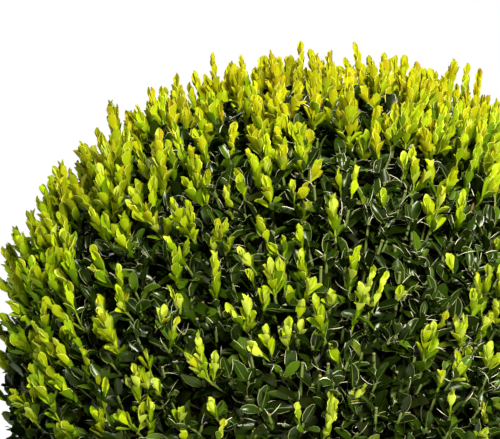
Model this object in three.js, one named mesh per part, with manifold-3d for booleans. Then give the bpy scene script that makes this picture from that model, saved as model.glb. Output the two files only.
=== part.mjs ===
// A clipped box ball (Buxus) rooted in the ground: one short main stem with low boughs, and one
// clipped crown with its uneven flush of new shoots. Millimetres, +Z up.
// Origin: the centre of the flat cut under the main stem, at ground level. The ball is looked at
// from -Y, so +X is its right-hand side.
import * as THREE from 'three';
import { mergeVertices } from 'three/addons/utils/BufferGeometryUtils.js';
import Module from 'manifold-3d';

const wasm = await Module();
wasm.setup();

// ---- driving dimensions -------------------------------------------------------------------
const BALL_CENTRE_Z = 258;      // height of the ball's middle above the ground
const CLIPPED_RADIUS = 224;     // surface left by the last clipping
const GROWTH_TOP = 16;          // how far the flush of new shoots fills out the top
const GROWTH_SIDE = 12;         // the same at mid height
const GROWTH_UNDER = 2;         // and underneath, in the shade
const TUFTS = 330;              // clusters of shoots over the whole ball
const TUFT_HEIGHT = 27;         // most that a tuft stands above the hollows between tufts
const TUFT_WIDTH = 22;
const CROWN_DETAIL = 16;        // icosahedron subdivision: 20 (n + 1)^2 triangles

const STEM_TOP = [7, -4, 118];  // where the main stem forks, inside the crown
const STEM_RADIUS = 15;         // above the flare
const FLARE_RADIUS = 27;        // root flare at the ground cut
const STEM_TIP_RADIUS = 10.5;
const STEM_SIDES = 24;

const BOUGHS = 5;
const BOUGH_BASE_Z = 20;
const BOUGH_RADIUS = 7.8;
const BOUGH_END_RADIUS = 6;
const BOUGH_REACH = 106;        // horizontal reach of the drawn limb, before it meets the crown
const BOUGH_RISE = 58;
const BOUGH_SIDES = 12;
const GAP = 0.4;                // clearance between a piece and what it is cut round

// Broad swellings and hollows in the outline seen from the front:
// [angle from +X towards +Z in degrees, height in mm, width in degrees]
const OUTLINE = [
  [58, 6, 10], [84, -5, 9], [110, -4, 6], [121, 5, 6],
  [131, -3.5, 5], [141, 5.5, 6], [161, 5, 8], [174, -5, 7],
];
// Swellings elsewhere round the ball, dealt out evenly
const SWELLINGS = 26;
const SWELLING_HEIGHT = 4.5;
const SWELLING_WIDTH = 0.30;    // radians

// ---- helpers ------------------------------------------------------------------------------
function seeded(seed) {
  let a = seed >>> 0;
  return () => {
    a = (a + 0x6d2b79f5) >>> 0;
    let t = a;
    t = Math.imul(t ^ (t >>> 15), t | 1);
    t ^= t + Math.imul(t ^ (t >>> 7), t | 61);
    return ((t ^ (t >>> 14)) >>> 0) / 4294967296;
  };
}

// n directions spread evenly over a sphere, each nudged a little
function spreadDirections(n, nudge, random) {
  const out = [];
  for (let i = 0; i < n; i++) {
    const z = 1 - (2 * (i + 0.5)) / n;
    const turn = i * Math.PI * (3 - Math.sqrt(5));
    const r = Math.sqrt(1 - z * z);
    out.push(new THREE.Vector3(
      r * Math.cos(turn) + nudge * (random() - 0.5),
      r * Math.sin(turn) + nudge * (random() - 0.5),
      z + nudge * (random() - 0.5),
    ).normalize());
  }
  return out;
}

const smooth = (t) => t * t * (3 - 2 * t);
const clamp01 = (t) => Math.min(1, Math.max(0, t));

// ---- crown --------------------------------------------------------------------------------
const random = seeded(41);
const tufts = spreadDirections(TUFTS, 0.09, random).map((d) => ({ d, h: 0.3 + 0.7 * random() }));
const swellings = spreadDirections(SWELLINGS, 0.3, random).map((d) => ({ d, h: 2 * random() - 1 }));
const outline = OUTLINE.map(([angle, h, width]) => {
  const a = THREE.MathUtils.degToRad(angle);
  return { d: new THREE.Vector3(Math.cos(a), 0, Math.sin(a)), h, w: THREE.MathUtils.degToRad(width) };
});

// How far the new growth stands out, by height on the ball (-1 under, 0 middle, 1 top)
function growth(up) {
  return up > 0
    ? GROWTH_SIDE + (GROWTH_TOP - GROWTH_SIDE) * smooth(clamp01(up * 1.2))
    : GROWTH_SIDE + (GROWTH_UNDER - GROWTH_SIDE) * smooth(clamp01(-up * 1.15));
}

function crownRadius(dir, extra) {
  let r = CLIPPED_RADIUS + growth(dir.z) + extra;
  for (const s of outline) {
    const a = dir.angleTo(s.d);
    r += s.h * Math.exp(-0.5 * (a / (1.15 * s.w)) ** 2);
  }
  for (const s of swellings) {
    const a = dir.angleTo(s.d);
    r += s.h * SWELLING_HEIGHT * (1 - Math.min(1, Math.abs(dir.y) < 0.25 ? 0.5 : 0))
      * Math.exp(-0.5 * (a / SWELLING_WIDTH) ** 2);
  }
  let tuft = 0;
  for (const t of tufts) {
    const d = CLIPPED_RADIUS * dir.angleTo(t.d);
    if (d < 2.2 * TUFT_WIDTH) tuft = Math.max(tuft, t.h * Math.exp(-((d / TUFT_WIDTH) ** 2)));
  }
  return r + TUFT_HEIGHT * (0.35 + 0.65 * clamp01((dir.z + 0.9) / 1.2)) * (tuft - 0.45);
}

function crownGeometry(extra = 0) {
  const g = new THREE.IcosahedronGeometry(1, CROWN_DETAIL);
  g.deleteAttribute('normal');
  g.deleteAttribute('uv');
  const merged = mergeVertices(g, 1e-5);
  const p = merged.getAttribute('position');
  const dir = new THREE.Vector3();
  for (let i = 0; i < p.count; i++) {
    dir.fromBufferAttribute(p, i).normalize();
    const r = crownRadius(dir, extra);
    p.setXYZ(i, dir.x * r, dir.y * r, dir.z * r + BALL_CENTRE_Z);
  }
  return merged;
}

// ---- limbs --------------------------------------------------------------------------------
// A closed tapering limb along a curve. radiusAt(t, angle) is its radius; level keeps the
// first ring level with the ground.
function limbGeometry(curve, radiusAt, rings, sides, level) {
  const positions = [];
  const index = [];
  const side = new THREE.Vector3();
  const other = new THREE.Vector3();
  const p = new THREE.Vector3();
  for (let i = 0; i <= rings; i++) {
    const t = i / rings;
    curve.getPoint(t, p);
    const along = level && i === 0 ? new THREE.Vector3(0, 0, 1) : curve.getTangent(t);
    side.set(0, 1, 0).addScaledVector(along, -along.y);
    if (side.lengthSq() < 0.05) side.set(1, 0, 0).addScaledVector(along, -along.x);
    side.normalize();
    other.crossVectors(along, side);
    for (let j = 0; j < sides; j++) {
      const a = (j / sides) * 2 * Math.PI;
      const r = radiusAt(t, a);
      positions.push(
        p.x + r * (Math.cos(a) * side.x + Math.sin(a) * other.x),
        p.y + r * (Math.cos(a) * side.y + Math.sin(a) * other.y),
        p.z + r * (Math.cos(a) * side.z + Math.sin(a) * other.z),
      );
    }
  }
  for (let i = 0; i < rings; i++) {
    for (let j = 0; j < sides; j++) {
      const a = i * sides + j;
      const b = i * sides + ((j + 1) % sides);
      index.push(a, b, b + sides, a, b + sides, a + sides);
    }
  }
  for (const [ring, t, flip] of [[0, 0, true], [rings, 1, false]]) {
    curve.getPoint(t, p);
    const centre = positions.length / 3;
    positions.push(p.x, p.y, p.z);
    for (let j = 0; j < sides; j++) {
      const a = ring * sides + j;
      const b = ring * sides + ((j + 1) % sides);
      index.push(...(flip ? [centre, b, a] : [centre, a, b]));
    }
  }
  const g = new THREE.BufferGeometry();
  g.setAttribute('position', new THREE.Float32BufferAttribute(positions, 3));
  g.setIndex(index);
  return g;
}

const stemCurve = new THREE.CatmullRomCurve3([
  new THREE.Vector3(0, 0, 0),
  new THREE.Vector3(1, 0.5, 18),
  new THREE.Vector3(3, 0, 45),
  new THREE.Vector3(3.5, -3, 82),
  new THREE.Vector3(...STEM_TOP),
]);

function stemRadius(extra) {
  return (t, a) => {
    const flare = Math.exp(-t / 0.085);
    const taper = STEM_RADIUS + (STEM_TIP_RADIUS - STEM_RADIUS) * clamp01((t - 0.1) / 0.85);
    const end = t > 0.94 ? 1 - 0.35 * ((t - 0.94) / 0.06) ** 2 : 1;
    const flutes = 1 + 0.13 * flare * Math.cos(5 * a + 0.7) + 0.035 * Math.cos(3 * a + 2 + 3 * t)
      + 0.02 * Math.cos(2 * a - 4 * t);
    return (taper + (FLARE_RADIUS - STEM_RADIUS) * flare) * end * flutes + extra;
  };
}
const stemGeometry = (extra) => limbGeometry(stemCurve, stemRadius(extra), 16, STEM_SIDES, true);

function boughCurve(i) {
  const turn = ((i + 0.07 * Math.sin(2.7 * i + 1)) / BOUGHS) * 2 * Math.PI + 0.5;
  const reach = BOUGH_REACH * (1 + 0.06 * Math.sin(3.1 * i));
  const at = (share, z, bend) => new THREE.Vector3(
    Math.cos(turn + bend) * reach * share + 1.5,
    Math.sin(turn + bend) * reach * share,
    BOUGH_BASE_Z + z + 1.5 * Math.sin(2 * i),
  );
  return new THREE.CatmullRomCurve3([
    at(0.04, 0, 0),
    at(0.3, BOUGH_RISE * 0.14, 0.05),
    at(0.62, BOUGH_RISE * 0.44, -0.04),
    at(1, BOUGH_RISE, 0.03),
  ]);
}
function boughRadius(i) {
  return (t, a) => (BOUGH_RADIUS + (BOUGH_END_RADIUS - BOUGH_RADIUS) * t)
    * (1 + 0.05 * Math.cos(2 * a + i) + 0.03 * Math.cos(3 * a + 5 * t));
}

// ---- booleans -----------------------------------------------------------------------------
function solid(geometry) {
  return new wasm.Manifold(new wasm.Mesh({
    numProp: 3,
    vertProperties: new Float32Array(geometry.getAttribute('position').array),
    triVerts: new Uint32Array(geometry.index.array),
  }));
}
function geometryOf(manifold) {
  const m = manifold.getMesh();
  const g = new THREE.BufferGeometry();
  const xyz = new Float32Array(m.numVert * 3);
  for (let i = 0; i < m.numVert; i++) {
    for (let k = 0; k < 3; k++) xyz[3 * i + k] = m.vertProperties[i * m.numProp + k];
  }
  g.setAttribute('position', new THREE.BufferAttribute(xyz, 3));
  g.setIndex(new THREE.BufferAttribute(new Uint32Array(m.triVerts), 1));
  return g;
}
const largest = (manifold) => manifold.decompose().sort((a, b) => b.volume() - a.volume())[0];

const grownStem = solid(stemGeometry(GAP));
const grownCrown = solid(crownGeometry(GAP));
const crown = solid(crownGeometry()).subtract(grownStem);

// ---- the plant ----------------------------------------------------------------------------
const bark = new THREE.MeshStandardMaterial({ color: 0x7d7158, roughness: 0.85, metalness: 0 });
const youngBark = new THREE.MeshStandardMaterial({ color: 0x877b5c, roughness: 0.8, metalness: 0 });
const foliage = new THREE.MeshStandardMaterial({ color: 0x7f9a22, roughness: 0.6, metalness: 0 });

const plant = new THREE.Group();
function add(name, geometry, material) {
  geometry.computeVertexNormals();
  const mesh = new THREE.Mesh(geometry, material);
  mesh.name = name;
  plant.add(mesh);
}

add('main_stem', stemGeometry(0), bark);
for (let i = 0; i < BOUGHS; i++) {
  const limb = solid(limbGeometry(boughCurve(i), boughRadius(i), 9, BOUGH_SIDES, false));
  add(`bough_${i + 1}`, geometryOf(largest(limb.subtract(grownStem).subtract(grownCrown))), youngBark);
}
add('clipped_crown', geometryOf(largest(crown)), foliage);

export default plant;
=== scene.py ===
"""Looks of the clipped box ball: bark, the branches that grow on from the limbs, small glossy
leaves, and the uneven flush of new shoots. Lengths in this file are millimetres until a mesh is
written, which turns them into metres. The plant is looked at from -Y."""

import math

import bpy
import numpy as np
from mathutils import Matrix, Vector
from mathutils.bvhtree import BVHTree


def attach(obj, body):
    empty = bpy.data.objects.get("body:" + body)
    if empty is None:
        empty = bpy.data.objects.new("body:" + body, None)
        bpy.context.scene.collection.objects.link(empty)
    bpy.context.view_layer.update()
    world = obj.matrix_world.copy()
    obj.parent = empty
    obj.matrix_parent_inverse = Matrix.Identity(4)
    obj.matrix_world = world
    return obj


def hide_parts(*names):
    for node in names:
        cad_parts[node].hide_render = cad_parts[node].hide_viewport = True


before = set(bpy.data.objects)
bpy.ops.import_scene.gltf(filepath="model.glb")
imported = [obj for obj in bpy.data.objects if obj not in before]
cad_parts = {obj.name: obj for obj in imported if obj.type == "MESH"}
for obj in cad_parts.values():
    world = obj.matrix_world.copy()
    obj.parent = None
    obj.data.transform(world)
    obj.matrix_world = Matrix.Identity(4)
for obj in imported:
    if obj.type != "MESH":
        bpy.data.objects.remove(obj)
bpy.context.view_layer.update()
rng = np.random.default_rng(7322)

# ---- sizes ---------------------------------------------------------------------------------
CENTRE = np.array([0.0, 0.0, 258.0])      # the ball's middle
UP = np.array([0.0, 0.0, 1.0])
TWIGS = 3900                              # clipped twigs over the whole ball
# how far the clipped twig ends lie below the smoothed outline, by height
CLIP_DEPTH = ((-1, -0.2, 0.05, 0.3, 0.5, 1), (4, 4, 8, 21, 33, 42))
TWIG_LENGTH = (52.0, 72.0)
LEAF_LENGTH = (14.5, 22.0)                # full-grown leaves
PHOTO = (500, 439)                        # frame of the reference view, in pixels
FOCAL_PX = 2364.0
DISTANCE = 1800.0
ELEVATION = math.radians(5.5)
BALL_AT = (316.0, 360.0)                  # where the ball's middle falls in that frame
MM_PER_PX = DISTANCE / FOCAL_PX

# Shoots that stand out in the reference view: foot x, y and tip x, y in its frame, in pixels
SEEN = [
    (134, 262, 112, 226), (130, 250, 122, 214), (160, 242, 142, 203), (150, 227, 125, 200), (123, 298, 119, 263),
    (125, 201, 120, 165), (113, 200, 107, 167), (115, 206, 101, 177), (96, 219, 73, 184), (76, 231, 67, 198),
    (113, 252, 104, 213), (105, 246, 89, 208), (66, 257, 52, 230), (73, 263, 63, 234), (77, 277, 58, 250),
    (68, 299, 46, 264), (70, 297, 60, 271), (56, 305, 32, 278), (56, 257, 41, 221), (54, 271, 35, 242),
    (47, 282, 27, 256), (48, 247, 29, 209), (62, 213, 41, 187), (70, 201, 50, 177), (71, 197, 53, 167),
    (76, 187, 60, 161), (98, 201, 80, 163), (101, 193, 92, 158), (28, 281, 1, 250), (30, 276, 7, 247),
    (32, 297, 3, 262), (36, 306, 14, 283), (24, 305, -1, 280), (108, 273, 91, 247), (116, 287, 92, 267),
    (138, 207, 137, 183), (122, 217, 115, 200), (118, 359, 98, 306), (112, 351, 93, 318), (115, 350, 105, 311),
    (62, 371, 33, 323), (61, 363, 43, 300), (66, 373, 39, 327), (79, 403, 56, 375), (56, 418, 28, 362),
    (50, 433, 27, 410), (45, 445, 30, 430), (104, 413, 98, 372), (107, 411, 106, 375), (112, 447, 94, 410),
    (109, 447, 101, 405), (142, 420, 133, 362), (139, 400, 127, 376), (138, 427, 119, 412), (139, 426, 145, 404),
    (157, 436, 150, 398), (153, 346, 165, 308), (152, 379, 146, 350), (153, 391, 142, 370), (88, 378, 85, 352),
    (70, 357, 63, 332), (32, 363, 20, 328), (14, 376, -2, 354), (40, 327, 9, 303), (120, 319, 128, 291),
    (202, 247, 170, 197), (198, 241, 187, 200), (198, 206, 197, 156), (200, 213, 183, 178), (203, 213, 208, 168),
    (216, 242, 218, 217), (218, 243, 228, 218), (209, 263, 214, 236), (236, 223, 225, 183), (250, 206, 236, 168),
    (258, 191, 253, 156), (263, 186, 266, 161), (275, 206, 264, 176), (288, 206, 292, 182), (295, 211, 306, 188),
    (296, 191, 321, 160), (296, 181, 304, 149), (300, 223, 307, 203), (300, 256, 298, 222), (284, 259, 284, 237),
    (282, 259, 270, 246), (296, 292, 301, 250), (294, 291, 280, 263), (271, 291, 270, 261), (273, 289, 279, 259),
    (219, 299, 215, 252), (252, 273, 239, 248), (251, 291, 249, 270), (231, 256, 229, 239), (176, 277, 175, 250),
    (178, 273, 187, 238), (303, 298, 314, 280), (268, 311, 265, 290), (180, 306, 170, 285), (163, 246, 169, 223),
    (179, 321, 180, 297), (172, 350, 178, 315), (210, 376, 196, 328), (216, 382, 186, 353), (215, 381, 216, 353),
    (267, 353, 264, 325), (262, 357, 249, 343), (294, 357, 288, 320), (296, 346, 303, 322), (292, 353, 285, 334),
    (300, 323, 303, 299), (292, 311, 290, 290), (326, 338, 315, 296), (328, 316, 332, 297), (338, 370, 330, 345),
    (214, 430, 210, 400), (217, 441, 225, 418), (304, 438, 296, 400), (316, 447, 333, 388), (321, 447, 338, 396),
    (175, 431, 181, 412), (256, 446, 257, 430), (187, 446, 183, 432), (363, 168, 362, 147), (337, 193, 337, 168),
    (383, 215, 384, 189), (404, 186, 404, 156), (414, 187, 416, 160), (416, 189, 432, 172), (436, 197, 447, 183),
    (439, 198, 456, 170), (424, 237, 432, 200), (422, 242, 436, 223), (457, 227, 463, 190), (488, 198, 488, 170),
    (495, 197, 497, 168), (356, 283, 357, 248), (349, 342, 377, 262), (368, 313, 366, 292), (452, 281, 450, 256),
    (488, 317, 476, 271), (487, 313, 489, 264), (469, 319, 474, 287), (497, 262, 498, 238), (400, 303, 401, 288),
    (460, 351, 466, 312), (458, 347, 456, 314), (474, 341, 490, 312), (418, 366, 429, 324), (420, 361, 436, 322),
    (444, 350, 446, 336), (442, 324, 448, 312), (462, 373, 457, 352), (464, 371, 468, 350), (455, 384, 461, 366),
    (488, 369, 489, 346), (488, 371, 500, 354), (434, 396, 442, 370), (458, 421, 453, 388), (485, 427, 482, 402),
    (340, 419, 368, 382), (477, 446, 486, 431), (498, 330, 496, 300),
    (118, 153, 109, 101), (121, 151, 115, 102), (112, 166, 103, 135), (134, 151, 127, 108), (156, 141, 135, 104),
    (152, 139, 132, 111), (156, 126, 148, 88), (166, 129, 161, 86), (180, 137, 172, 102), (181, 138, 187, 108),
    (182, 135, 195, 121), (156, 178, 134, 141), (165, 185, 159, 130), (168, 181, 168, 140), (158, 187, 140, 162),
    (198, 116, 194, 73), (194, 113, 188, 83), (182, 111, 173, 91), (185, 111, 178, 96), (218, 136, 210, 92),
    (222, 133, 218, 104), (210, 131, 204, 102), (212, 146, 198, 111), (218, 151, 208, 127), (214, 169, 202, 141),
    (208, 157, 192, 131), (232, 153, 234, 123), (235, 161, 231, 135), (216, 93, 211, 51), (236, 105, 230, 67),
    (214, 97, 206, 79), (247, 96, 240, 52), (248, 119, 254, 88), (247, 121, 247, 100), (270, 91, 271, 47),
    (278, 93, 280, 62), (262, 89, 262, 65), (260, 96, 254, 75), (277, 111, 283, 80), (274, 109, 276, 90),
    (285, 141, 266, 95), (290, 141, 281, 106), (303, 91, 301, 40), (291, 99, 300, 77), (312, 99, 317, 54),
    (318, 87, 323, 57), (322, 90, 327, 68), (332, 113, 333, 88), (314, 131, 319, 96), (311, 131, 312, 102),
    (315, 129, 325, 112), (354, 86, 343, 57), (355, 84, 354, 42), (352, 84, 338, 66), (348, 159, 350, 77),
    (343, 151, 342, 93), (353, 146, 354, 100), (345, 141, 340, 105), (366, 92, 363, 66), (368, 113, 362, 88),
    (370, 113, 376, 98), (378, 91, 373, 60), (383, 106, 384, 72), (389, 101, 391, 78), (383, 82, 385, 58),
    (372, 139, 378, 108), (364, 169, 367, 132), (363, 162, 361, 138), (392, 156, 385, 112), (394, 151, 396, 110),
    (332, 133, 326, 108), (276, 149, 269, 133), (290, 173, 265, 144), (290, 151, 274, 127), (298, 151, 289, 122),
    (300, 151, 297, 126), (298, 181, 299, 134), (292, 176, 283, 146), (306, 156, 305, 126), (304, 161, 311, 132),
    (256, 163, 252, 126), (258, 161, 258, 130), (396, 87, 396, 53), (402, 89, 406, 57), (400, 116, 405, 83),
    (416, 96, 418, 64), (430, 101, 424, 69), (432, 99, 431, 72), (436, 99, 438, 72), (440, 98, 443, 77),
    (423, 119, 422, 92), (430, 119, 432, 99), (402, 133, 403, 106), (390, 151, 395, 101), (437, 126, 441, 102),
    (450, 97, 455, 61), (447, 97, 449, 66), (466, 97, 467, 62), (476, 96, 481, 66), (458, 109, 457, 82),
    (416, 139, 415, 108), (420, 136, 421, 116), (426, 159, 424, 128), (434, 151, 433, 121), (412, 171, 412, 144),
    (456, 141, 462, 102), (452, 151, 470, 115), (476, 153, 477, 126), (478, 151, 484, 132), (462, 173, 463, 138),
    (452, 161, 458, 142), (484, 123, 477, 94), (486, 126, 489, 95), (494, 143, 493, 112), (490, 141, 486, 122),
    (440, 161, 443, 134), (438, 171, 434, 150), (496, 171, 496, 141), (492, 171, 488, 152), (436, 190, 430, 161),
    (427, 166, 428, 141), (467, 120, 466, 88), (88, 190, 88, 152),
]

STEM_POINTS = [(0, 0, 0), (1, 0.5, 18), (3, 0, 45), (3.5, -3, 82), (7, -4, 118)]
BOUGHS = 5


# ---- small helpers ---------------------------------------------------------------------------
def unit(v):
    return v / np.maximum(np.linalg.norm(v, axis=-1, keepdims=True), 1e-9)


def dot(a, b):
    return (a * b).sum(-1, keepdims=True)


def srgb(text):
    """A base colour from its usual six digits, as the linear numbers a shader takes."""
    c = np.array([int(text[i : i + 2], 16) for i in (0, 2, 4)]) / 255.0
    c = np.where(c <= 0.04045, c / 12.92, ((c + 0.055) / 1.055) ** 2.4)
    return (float(c[0]), float(c[1]), float(c[2]), 1.0)


def between(low, high, n):
    return rng.uniform(low, high, n)


def sphere_directions(n):
    i = np.arange(n) + 0.5
    z = 1 - 2 * i / n
    turn = i * math.pi * (3 - math.sqrt(5))
    r = np.sqrt(1 - z * z)
    return np.stack([r * np.cos(turn), r * np.sin(turn), z], 1)


def catmull(points, t):
    """Points along a centripetal Catmull-Rom curve through points, t from 0 to 1."""
    p = np.array(points, float)
    ends = np.vstack([2 * p[0] - p[1], p, 2 * p[-1] - p[-2]])
    at = np.clip(np.asarray(t, float), 0, 1) * (len(p) - 1)
    k = np.minimum(at.astype(int), len(p) - 2)
    w = (at - k)[:, None]
    a, b, c, d = ends[k], ends[k + 1], ends[k + 2], ends[k + 3]
    d0, d1, d2 = (np.linalg.norm(q - r, axis=1, keepdims=True) ** 0.5 for q, r in ((a, b), (b, c), (c, d)))
    m1 = ((b - a) / d0 - (c - a) / (d0 + d1) + (c - b) / d1) * d1
    m2 = ((c - b) / d1 - (d - b) / (d1 + d2) + (d - c) / d2) * d1
    return b + m1 * w + (-3 * b + 3 * c - 2 * m1 - m2) * w**2 + (2 * b - 2 * c + m1 + m2) * w**3


def ripple(u, v, seed, wrap=None):
    """Smooth value noise from 0 to 1 on a grid of whole numbers; wrap closes it round u."""
    table = np.random.default_rng(seed).random((257, 257))
    iu, iv = np.floor(u).astype(int), np.floor(v).astype(int)
    fu, fv = u - iu, v - iv
    fu, fv = fu * fu * (3 - 2 * fu), fv * fv * (3 - 2 * fv)
    near, far = (iu % wrap, (iu + 1) % wrap) if wrap else (iu % 257, (iu + 1) % 257)
    low = table[near, iv % 257] * (1 - fu) + table[far, iv % 257] * fu
    high = table[near, (iv + 1) % 257] * (1 - fu) + table[far, (iv + 1) % 257] * fu
    return low * (1 - fv) + high * fv


# ---- the reference view ------------------------------------------------------------------------
eye = np.array([0, -math.cos(ELEVATION), math.sin(ELEVATION)])
view_from = CENTRE + eye * DISTANCE
ball_way = Vector((BALL_AT[0] - PHOTO[0] / 2, PHOTO[1] / 2 - BALL_AT[1], -FOCAL_PX)).normalized()
view_turn = Vector(-eye).to_track_quat("-Z", "Y") @ ball_way.rotation_difference(Vector((0, 0, -1)))
view_axes = np.array(view_turn.to_matrix())


def rays(x, y):
    return unit(np.stack([x - PHOTO[0] / 2, PHOTO[1] / 2 - y, np.full(len(x), -FOCAL_PX)], 1) @ view_axes.T)


def sight(x, y, radius):
    """Where the sight lines through places in the reference view meet a ball of that radius round
    the middle, or where they pass nearest to it."""
    ray = rays(x, y)
    gap = CENTRE - view_from
    along = ray @ gap
    miss = (gap**2).sum() - along**2
    return view_from + ray * (along - np.sqrt(np.maximum(radius**2 - miss, 0)))[:, None]


def sight_at(x, y, ahead):
    """Where those sight lines are that far ahead, measured towards the view."""
    ray = rays(x, y)
    return view_from + ray * ((ahead - view_from @ eye) / (ray @ eye))[:, None]


def seen_at(points):
    """Places of points in the reference view, in pixels."""
    p = (points - view_from) @ view_axes
    return PHOTO[0] / 2 - FOCAL_PX * p[:, 0] / p[:, 2], PHOTO[1] / 2 + FOCAL_PX * p[:, 1] / p[:, 2]


# ---- meshes from arrays ------------------------------------------------------------------------
def piece(name, parts, material, replaces):
    """One joined mesh of (vertices, triangles) parts, riding on the plant's one body."""
    verts, faces, at = [], [], 0
    for v, f in parts:
        verts.append(v)
        faces.append(f + at)
        at += len(v)
    verts, faces = np.concatenate(verts), np.concatenate(faces)
    mesh = bpy.data.meshes.new(name)
    mesh.vertices.add(len(verts))
    mesh.vertices.foreach_set("co", (verts * 0.001).astype(np.float32).ravel())
    mesh.loops.add(3 * len(faces))
    mesh.loops.foreach_set("vertex_index", faces.astype(np.int32).ravel())
    mesh.polygons.add(len(faces))
    mesh.polygons.foreach_set("loop_start", np.arange(0, 3 * len(faces), 3, dtype=np.int32))
    mesh.polygons.foreach_set("use_smooth", np.ones(len(faces), bool))
    mesh.update(calc_edges=True)
    mesh.materials.append(material)
    obj = bpy.data.objects.new(name, mesh)
    bpy.context.scene.collection.objects.link(obj)
    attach(obj, "root")
    if replaces:
        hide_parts(*replaces)
    print(f"{name}: {len(faces)} triangles")
    return obj


def blade(xs, ws, midrib=True, tip=1.0):
    """A leaf's outline: places along it and across it, and its faces. With a midrib it is rounded
    across, without one it is flat."""
    n = len(xs)
    x, y = [0.0, tip, *xs, *xs], [0.0, 0.0, *ws, *(-w for w in ws)]
    left, right = [2 + i for i in range(n)], [2 + n + i for i in range(n)]
    if not midrib:
        faces = [(0, right[0], left[0])]
        for i in range(n - 1):
            faces += [(left[i], right[i], right[i + 1]), (left[i], right[i + 1], left[i + 1])]
        faces += [(left[-1], right[-1], 1)]
        return np.array(x), np.array(y), np.array(faces)
    x, y = x + list(xs), y + [0.0] * n
    mid = [2 + 2 * n + i for i in range(n)]
    faces = [(0, mid[0], left[0]), (0, right[0], mid[0])]
    for i in range(n - 1):
        faces += [(left[i], mid[i], mid[i + 1]), (left[i], mid[i + 1], left[i + 1])]
        faces += [(mid[i], right[i], right[i + 1]), (mid[i], right[i + 1], mid[i + 1])]
    faces += [(left[-1], mid[-1], 1), (mid[-1], right[-1], 1)]
    return np.array(x), np.array(y), np.array(faces)


FULL_BLADE = blade([0.12, 0.38, 0.68, 0.91], [0.28, 0.48, 0.48, 0.27])
CUT_BLADE = blade([0.14, 0.42, 0.72, 0.93], [0.3, 0.5, 0.48, 0.4], tip=0.9)
INNER_BLADE = blade([0.17, 0.5, 0.84], [0.33, 0.5, 0.36])
HALF_HIDDEN = blade([0.17, 0.5, 0.84], [0.33, 0.5, 0.36], midrib=False)
DEEP_BLADE = blade([0.3, 0.75], [0.45, 0.42], midrib=False)
LONG_SHOOT = blade([0.13, 0.4, 0.7, 0.92], [0.22, 0.44, 0.49, 0.27])
ROUND_SHOOT = blade([0.14, 0.42, 0.72, 0.93], [0.17, 0.4, 0.5, 0.31])


def on_leaf(x, y, at, along, face, length, width, cup, bend, twist, lift=0.0):
    """Places on each leaf, x along it and y across it as shares of its length and width: along is
    its way out, face its upper side, bend how far it curls up over its length in radians, cup how
    far its sides rise, twist how far it turns."""
    face = unit(face - dot(face, along) * along)
    side = np.cross(face, along)
    bend = np.where(np.abs(bend) < 1e-3, 1e-3, bend)[:, None]
    length, width = length[:, None], width[:, None]
    turn = bend * x
    rise = length * (1 - np.cos(turn)) / bend
    high_ = lift + cup[:, None] * width * (2 * np.abs(y)) ** 1.5 + twist[:, None] * width * y * x
    a = length * np.sin(turn) / bend - high_ * np.sin(turn)
    b = rise + high_ * np.cos(turn)
    return (
        at[:, None, :]
        + a[..., None] * along[:, None, :]
        + b[..., None] * face[:, None, :]
        + (width * y)[..., None] * side[:, None, :]
    )


def leaves(outline, *shape):
    """A leaf of that outline at each place."""
    x, y, faces = outline
    verts = on_leaf(x, y, *shape)
    index = faces[None] + (np.arange(len(verts)) * len(x))[:, None, None]
    return verts.reshape(-1, 3), index.reshape(-1, 3)


def edging(x, y, outer, inner, lift, both, shape):
    """A thin strip along one edge of each leaf, or both, through the given places on it. It
    reaches from outer past the edge to inner inside it, in mm."""
    n, m = len(shape[0]), len(x)
    x, y, width = np.array(x), np.array(y), shape[4][:, None]
    rows, faces = [], []
    first = rng.choice([-1, 1], n)[:, None]
    for sign in (first, -first) if both else (first,):
        for shift in (outer, -inner):
            rows.append(on_leaf(x, sign * np.maximum(y + shift / width, 0), *shape, lift=lift))
    for r in range(0, len(rows), 2):
        for i in range(r * m, r * m + m - 1):
            faces += [(i, i + 1, i + m + 1), (i, i + m + 1, i + m)]
    verts = np.concatenate(rows, 1)
    index = np.array(faces)[None] + (np.arange(n) * m * len(rows))[:, None, None]
    return verts.reshape(-1, 3), index.reshape(-1, 3)


def tubes(paths, radii, sides, start_cap=False):
    """Tapering limbs, each closed at its far end; paths is limbs by points by 3."""
    n, m, _ = paths.shape
    tangent = unit(np.gradient(paths, axis=1))
    guess = np.where(np.abs(tangent[:, 0, 2:]) > 0.85, np.array([1.0, 0, 0]), UP)
    u = unit(guess - dot(guess, tangent[:, 0]) * tangent[:, 0])
    turn = np.arange(sides) / sides * 2 * math.pi
    rings = []
    for i in range(m):
        t = tangent[:, i]
        u = unit(u - dot(u, t) * t)
        v = np.cross(t, u)
        r = radii[:, i][:, None, None]
        rings.append(
            paths[:, i][:, None, :]
            + r * (np.cos(turn)[None, :, None] * u[:, None, :] + np.sin(turn)[None, :, None] * v[:, None, :])
        )
    verts = np.stack(rings, 1).reshape(n, m * sides, 3)
    faces = []
    for i in range(m - 1):
        for j in range(sides):
            a, b = i * sides + j, i * sides + (j + 1) % sides
            faces += [(a, b, b + sides), (a, b + sides, a + sides)]
    last = (m - 1) * sides
    faces += [(last, last + j, last + j + 1) for j in range(1, sides - 1)]
    if start_cap:
        faces += [(0, j + 1, j) for j in range(1, sides - 1)]
    index = np.array(faces)[None] + (np.arange(n) * m * sides)[:, None, None]
    return verts.reshape(-1, 3), index.reshape(-1, 3)


def bent(a, b, c, t):
    """Points at t along curves from a to c that lean on b."""
    t = np.asarray(t, float).reshape(1, -1, 1)
    return (1 - t) ** 2 * a[:, None] + 2 * t * (1 - t) * b[:, None] + t**2 * c[:, None]


def groups(points, k, start=None, rounds=7):
    """Which of k groups each point falls in, and each group's middle."""
    middles = points[rng.choice(len(points), k, replace=False)] if start is None else start.copy()
    for _ in range(rounds):
        far = ((points[:, None] - middles[None]) ** 2).sum(2)
        own = far.argmin(1)
        for j in range(k):
            if (own == j).any():
                middles[j] = points[own == j].mean(0)
    return own, middles


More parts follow.
